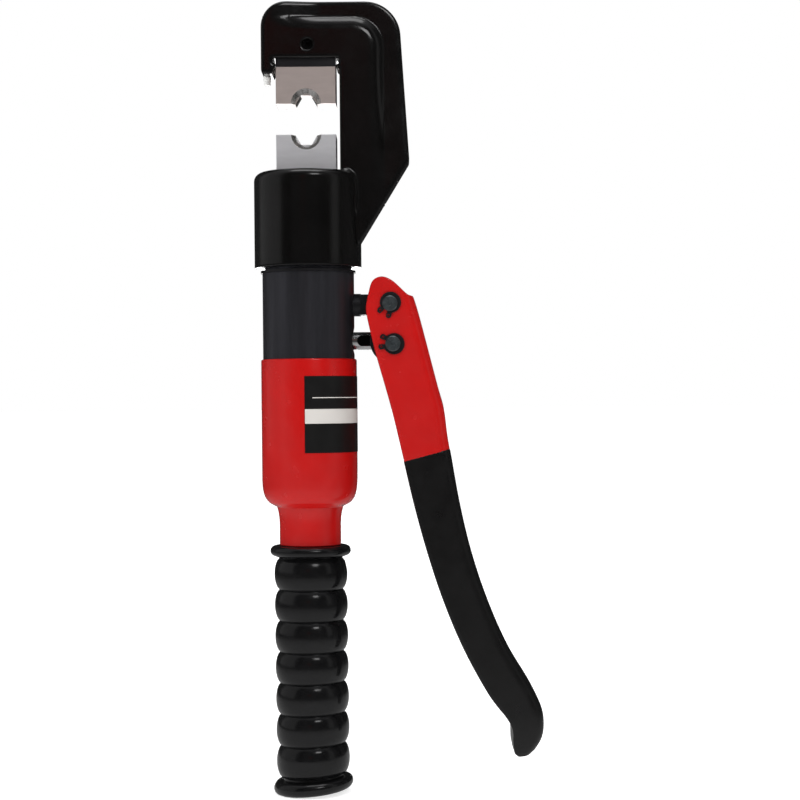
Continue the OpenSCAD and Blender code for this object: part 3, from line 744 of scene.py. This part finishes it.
def grip():
    """The ribbed rubber grip between its two flanges."""
    foot, top = 6.5, 92.1
    count = 7
    pitch = (top - foot) / count
    groove_r, rib_h = 12.5, 1.85
    profile = [(0, 0), (10.5, 0)] + arc((12.9, 2.7), 2.7, -72, 68, 12) + [(12.6, 5.3), (11.9, 5.6)]
    profile += [(11.8, 6.2)]
    for i in range(count):
        z0 = foot + i * pitch
        for k in range(15):
            t = k / 14
            bulge = (1 - abs(2 * t - 1) ** 2.1) ** 0.7
            profile.append((groove_r + rib_h * bulge, z0 + pitch * t))
    profile += [(12.4, 92.4)] + arc((13.85, 95.1), 2.0, -75, 80, 12)
    profile += [(13.2, 97.15), (12.5, 96.9), (12.15, 97.25), (10.06, 97.3), (10.06, 2.9), (0, 2.9)]
    verts, faces = lathe(profile, 144)
    out = []
    for x, y, z in verts:
        # The rubber was pushed on a little askew, more so towards its lower end
        t = min(max((75 - z) / 75, 0.0), 1.0)
        at_foot = min(max((7 - z) / 3, 0.0), 1.0)
        lean = math.radians(3.2 * t + 2.0 * at_foot)
        slant = x * math.tan(lean) * (1 if z < 96 else 0)
        aside = 0.4 * min(max((95 - z) / 95, 0.0), 1.0)
        out.append((x + aside, y, max(z + slant + 0.6 * t, 0.0)))
    ob = build("rubber_grip_ribbed", out, faces)
    place(ob, grip_rubber, "pump", ["rubber_grip"], 38)


grip()


# ---- lever ----

# The lever from the side: the edge next to the body, the edge away from it, and the ear between them
LEVER_INNER = [
    (22.7, 190), (23.2, 186), (26.3, 172.5), (32.2, 151), (36.6, 132), (40.8, 113.5),
    (45.7, 95), (51.8, 76), (59.6, 57), (69.2, 39.2), (76.4, 29.6), (78.5, 25),
    (78.6, 20), (79.4, 15.4),
]
LEVER_OUTER = [
    (41.2, 194.4), (43.7, 186), (50.3, 160), (52.8, 150.6), (54.1, 140), (55.6, 131),
    (58.7, 113), (63, 94.5), (69.1, 75.7), (77.1, 57), (85.4, 42.8), (89.6, 34),
    (90.6, 27.5), (89.8, 21.5), (87.2, 16.8),
]
EAR = [
    (41.2, 194.4), (39, 195), (36.6, 197.2), (32.8, 200.6), (28.9, 202), (25.4, 200.3),
    (23.8, 195.6), (22.7, 190),
]
# Where the dipped grip ends, on both edges
GRIP_EDGE = (Vector((36.7, 130.3)), Vector((54.8, 134.9)))
HALF_W = 11.0
SHEET = 2.5
STATIONS = 90

inner = resample(smooth_line(LEVER_INNER), STATIONS)
outer = resample(smooth_line(LEVER_OUTER), STATIONS)
pairs = [(Vector((21.2, 208)), Vector((37.2, 210)))] + list(zip(inner, outer))
tip = (Vector((81.0, 14.05)), Vector((84.6, 14.55)))


def channel_section(w, half, r, back, step):
    """Outline across the lever: a channel that is open at w, with corners of radius r at its back."""
    corner = [
        (back + r - r * math.sin(math.radians(t)), half - r + r * math.cos(math.radians(t)))
        for t in range(90, -1, -step)
    ]
    return [(w, -half)] + [(u, -v) for u, v in reversed(corner)] + corner + [(w, half)]


def lever_body(name, grow=0.0):
    """The lever as a solid bar, grown by a little all round."""
    rings = []
    stations = pairs + [tip]
    for i, (a, b) in enumerate(stations):
        way = (a - b).normalized()
        w = (a - b).length + 2 * grow
        left = len(stations) - 1 - i
        narrow = 1.0
        if left <= 9:
            # The last stations narrow to a rounded tip
            narrow = math.sqrt(1 - ((9 - left) / 9.6) ** 2) * 0.6 + 0.4
        half = (HALF_W + grow) * narrow
        r = min(4.2, w / 2 - 0.4, half - 0.4)
        start = b - way * grow
        section = channel_section(w, half, r, 0, 15)
        rings.append([(start.x + way.x * u, v, start.y + way.y * u) for u, v in section])
    return build(name, *skin(rings))


def lever_hollow(wall, half, last):
    """The space inside the lever, from above its ears down to one of its stations."""
    rings = []
    first = (pairs[0][0] + Vector((0, 6)), pairs[0][1] + Vector((0, 6)))
    for a, b in [first] + pairs[: last + 1]:
        way = (a - b).normalized()
        w = (a - b).length + 4
        section = channel_section(w, half, 1.7, wall, 18)
        rings.append([(b.x + way.x * u, v, b.y + way.y * u) for u, v in section])
    return build("lever_hollow", *skin(rings))


edge_way = (GRIP_EDGE[1] - GRIP_EDGE[0]).normalized()
up = Vector((-edge_way.y, edge_way.x))
hollow_end = next(i for i, (a, b) in enumerate(pairs) if a.y < 31)

# Red steel, down to a little way inside the dipped grip
low = [GRIP_EDGE[0] - edge_way * 25 - up * 4, GRIP_EDGE[1] + edge_way * 25 - up * 4]
ear_line = [tuple(p) for p in smooth_line(EAR, 5)]
keep = slab(
    "keep",
    [tuple(low[0]), tuple(low[1]), (80, 194.39)] + ear_line + [(5, 189.9)],
    16,
)
channel = lever_body("lever_pressed_sheet")
boolean(channel, lever_hollow(SHEET, HALF_W - SHEET, hollow_end), "DIFFERENCE")
boolean(channel, keep, "INTERSECT")
soften(channel, 0.42, 3)
place(channel, red_paint, "lever", ["lever_channel"], 60)

# Vinyl grip, dipped over the rest of the lever
dip = lever_body("lever_dipped_grip", 0.14)
boolean(dip, lever_hollow(SHEET + 0.4, HALF_W - SHEET - 0.4, hollow_end), "DIFFERENCE")
high = [GRIP_EDGE[1] + edge_way * 60, GRIP_EDGE[0] - edge_way * 60]
keep = slab("keep", [(-20, 0), (140, 0), tuple(high[0]), tuple(high[1])], 16)
boolean(dip, keep, "INTERSECT")
soften(dip, 0.45, 5)
place(dip, vinyl, "lever", ["lever_grip"], 60)


def lever_pin(name, node, x, z):
    """A pin through the lever, with a centre mark and a ring groove at both ends."""
    end = HALF_W + 2.2
    half = [
        (0, end - 0.35), (0.45, end - 0.35), (0.8, end), (2.6, end), (3.0, end - 0.4), (3.0, end - 1.3),
        (2.85, end - 1.35), (2.85, HALF_W + 0.05), (3.0, HALF_W),
    ]
    profile = half + [(r, -y) for r, y in reversed(half)]
    ob = bar_y(name, x, z, profile)
    place(ob, blued, "lever", [node])


FULCRUM_X, FULCRUM_Z = 32.1, 191.4
PIN_GAP, SWING = 15.65, math.radians(3.8)
lever_pin("fulcrum_pin_turned", "fulcrum_pin", FULCRUM_X, FULCRUM_Z)
lever_pin(
    "plunger_pin_turned", "plunger_pin",
    FULCRUM_X + PIN_GAP * math.sin(SWING), FULCRUM_Z - PIN_GAP * math.cos(SWING),
)

# ---- fine edges on nodes that keep their CAD shape ----

for name, width in (
    ("pump_body", 0.3), ("head_washer", 0.2), ("pivot_lug", 0.35), ("plunger_eye", 0.4),
    ("plunger", 0.2), ("release_lever", 0.5), ("release_bracket", 0.3), ("pin_circlips", 0.12),
    ("die_seat_plate", 0.25), ("release_cartridge", 0.25), ("lug_spacers", 0.2), ("eye_spacers", 0.2),
):
    bevel(nodes[name], width)

# ---- floor, light and camera ----


def white_floor():
    """A white floor, which the tool mirrors as a dark table with one bright place far behind."""
    at = (0, 0, -0.0002)
    bpy.ops.mesh.primitive_circle_add(vertices=96, radius=30, fill_type="NGON", location=at)
    floor = bpy.context.object
    floor.name = "floor"
    mat = finish_material("pale_floor", (0.9, 0.9, 0.9), 0.8, tint=0.005, bump=0.0, specular=0.1)
    tree = mat.node_tree
    link = tree.links.new
    shader = next(n for n in tree.nodes if n.type == "BSDF_PRINCIPLED")
    shader.inputs["Emission Color"].default_value = (1, 1, 1, 1)
    mat.cycles.emission_sampling = "NONE"
    spot = add(tree, "ShaderNodeTexCoord").outputs["Object"]
    reach = add(tree, "ShaderNodeVectorMath", operation="LENGTH")
    link(spot, reach.inputs[0])
    scaled = add(tree, "ShaderNodeMapRange", in_From_Min=0.0, in_From_Max=1.2)
    link(reach.outputs["Value"], scaled.inputs["Value"])
    # The glow is weaker round the tool, so that its shadow shows, and grows to white
    glow = add(
        tree, "ShaderNodeMapRange", in_From_Min=0.0, in_From_Max=1.0, in_To_Min=0.72, in_To_Max=1.05
    )
    link(reach.outputs["Value"], glow.inputs["Value"])
    link(glow.outputs["Result"], shader.inputs["Emission Strength"])
    table = ramp(tree, ((0.0, 0.42), (0.1, 0.42), (0.25, 0.3), (0.5, 0.08), (1.0, 0.04)))
    link(scaled.outputs["Result"], table.inputs["Fac"])
    narrow = add(tree, "ShaderNodeVectorMath", operation="MULTIPLY")
    narrow.inputs[1].default_value = (3.5, 1, 1)
    link(spot, narrow.inputs[0])
    away = add(tree, "ShaderNodeVectorMath", operation="DISTANCE")
    away.inputs[1].default_value = (0, 2.2, 0)
    link(narrow.outputs["Vector"], away.inputs[0])
    near_spot = add(tree, "ShaderNodeMapRange", in_From_Min=1.3, in_From_Max=1.0)
    link(away.outputs["Value"], near_spot.inputs["Value"])
    lit = add(tree, "ShaderNodeMix", data_type="RGBA")
    lit.inputs["B"].default_value = (6, 6, 6, 1)
    link(near_spot.outputs["Result"], lit.inputs["Factor"])
    link(table.outputs["Color"], lit.inputs["A"])
    seen = add(tree, "ShaderNodeEmission")
    link(lit.outputs["Result"], seen.inputs["Color"])
    either = add(tree, "ShaderNodeMixShader")
    link(add(tree, "ShaderNodeLightPath").outputs["Is Glossy Ray"], either.inputs["Fac"])
    link(shader.outputs["BSDF"], either.inputs[1])
    link(seen.outputs["Emission"], either.inputs[2])
    out = next(n for n in tree.nodes if n.type == "OUTPUT_MATERIAL")
    link(either.outputs["Shader"], out.inputs["Surface"])
    floor.data.materials.append(mat)


def dim_room():
    """White to the camera, and a dim room with light and dark walls to everything else."""
    world = bpy.data.worlds.new("studio")
    scene.world = world
    world.use_nodes = True
    tree = world.node_tree
    tree.nodes.clear()
    link = tree.links.new
    out = add(tree, "ShaderNodeOutputWorld")
    soft = add(tree, "ShaderNodeBackground", in_Color=(1, 1, 1, 1), in_Strength=1.0)
    mirror = add(tree, "ShaderNodeBackground", in_Strength=1.0)
    both = add(tree, "ShaderNodeMixShader")
    way = add(tree, "ShaderNodeTexCoord").outputs["Generated"]
    around = add(tree, "ShaderNodeTexGradient", gradient_type="RADIAL")
    link(way, around.inputs["Vector"])
    # Walls of the room, by direction: front at 0.25, right at 0.5, back at 0.75, left at 0 and 1
    walls = ramp(
        tree,
        (
            (0.0, 0.28), (0.08, 0.28), (0.105, 0.05), (0.15, 0.015), (0.17, 0.06), (0.25, 0.05),
            (0.3, 0.05), (0.34, 0.03), (0.39, 0.03), (0.41, 0.24), (0.44, 0.24), (0.46, 0.04),
            (0.49, 0.06), (0.56, 0.06), (0.6, 0.03), (0.7, 0.02), (0.8, 0.02), (0.9, 0.06),
            (0.93, 0.28),
        ),
    )
    link(around.outputs["Fac"], walls.inputs["Fac"])
    height = add(tree, "ShaderNodeSeparateXYZ")
    link(way, height.inputs["Vector"])
    rise = add(tree, "ShaderNodeMapRange", in_From_Min=0.72, in_From_Max=0.93)
    link(height.outputs["Z"], rise.inputs["Value"])
    ceiling = add(tree, "ShaderNodeMix", data_type="RGBA")
    ceiling.inputs["B"].default_value = (0.35, 0.35, 0.36, 1)
    link(rise.outputs["Result"], ceiling.inputs["Factor"])
    link(walls.outputs["Color"], ceiling.inputs["A"])
    # One warm patch high in front, as of someone's hands beside the camera
    off = add(tree, "ShaderNodeVectorMath", operation="DISTANCE")
    off.inputs[1].default_value = (-0.115, -0.965, 0.235)
    link(way, off.inputs[0])
    patch = add(tree, "ShaderNodeMapRange", in_From_Min=0.115, in_From_Max=0.045)
    link(off.outputs["Value"], patch.inputs["Value"])
    warm = add(tree, "ShaderNodeMix", data_type="RGBA")
    warm.inputs["B"].default_value = (0.17, 0.014, 0.009, 1)
    link(patch.outputs["Result"], warm.inputs["Factor"])
    link(ceiling.outputs["Result"], warm.inputs["A"])
    link(warm.outputs["Result"], mirror.inputs["Color"])
    link(add(tree, "ShaderNodeLightPath").outputs["Is Camera Ray"], both.inputs["Fac"])
    link(mirror.outputs["Background"], both.inputs[1])
    link(soft.outputs["Background"], both.inputs[2])
    link(both.outputs["Shader"], out.inputs["Surface"])


def lamp(name, at, size, watts, mirrored):
    """A flat lamp that faces the middle of the tool."""
    data = bpy.data.lights.new(name, "AREA")
    data.shape = "RECTANGLE"
    data.size, data.size_y = size
    data.energy = watts
    ob = bpy.data.objects.new(name, data)
    ob.location = at
    ob.rotation_euler = (Vector((0.02, 0, 0.17)) - Vector(at)).to_track_quat("-Z", "Y").to_euler()
    ob.visible_glossy = mirrored
    scene.collection.objects.link(ob)


def lamps():
    # Each lamp: place, size, how bright its face is beside a white wall, and if it mirrors
    for name, at, size, bright, mirrored in (
        ("high_front", (0.0, -1.3, 1.5), (2.4, 1.0), 2.5, False),
        ("left_front", (-0.95, -0.75, 0.25), (0.7, 1.1), 1.4, False),
        ("right_front", (1.0, -0.5, 0.25), (0.35, 1.1), 0.9, False),
        ("top_front", (0.3, -0.85, 0.8), (0.3, 0.25), 5.0, True),
        ("overhead", (0.0, -0.1, 1.4), (0.8, 0.4), 2.6, True),
        ("left_back", (-0.8, 0.9, 0.5), (0.5, 0.8), 2.6, False),
        ("right_back", (0.9, 0.8, 0.5), (0.5, 0.8), 2.6, False),
    ):
        lamp(name, at, size, bright * math.pi * size[0] * size[1], mirrored)


def camera():
    """Level with the middle of the tool and a little to its right."""
    cam_data = bpy.data.cameras.new("camera")
    cam_data.sensor_width = 36.0
    cam_data.lens = 81.1
    cam_data.clip_start = 0.01
    cam = bpy.data.objects.new("camera", cam_data)
    turn = Matrix.Rotation(math.radians(90), 4, "X") @ Matrix.Rotation(math.radians(-0.516), 4, "Z")
    cam.matrix_world = Matrix.Translation((0.0357, -0.710, 0.1539)) @ turn
    scene.collection.objects.link(cam)
    scene.camera = cam
    scene.view_settings.view_transform = "Standard"


white_floor()
dim_room()
lamps()
camera()
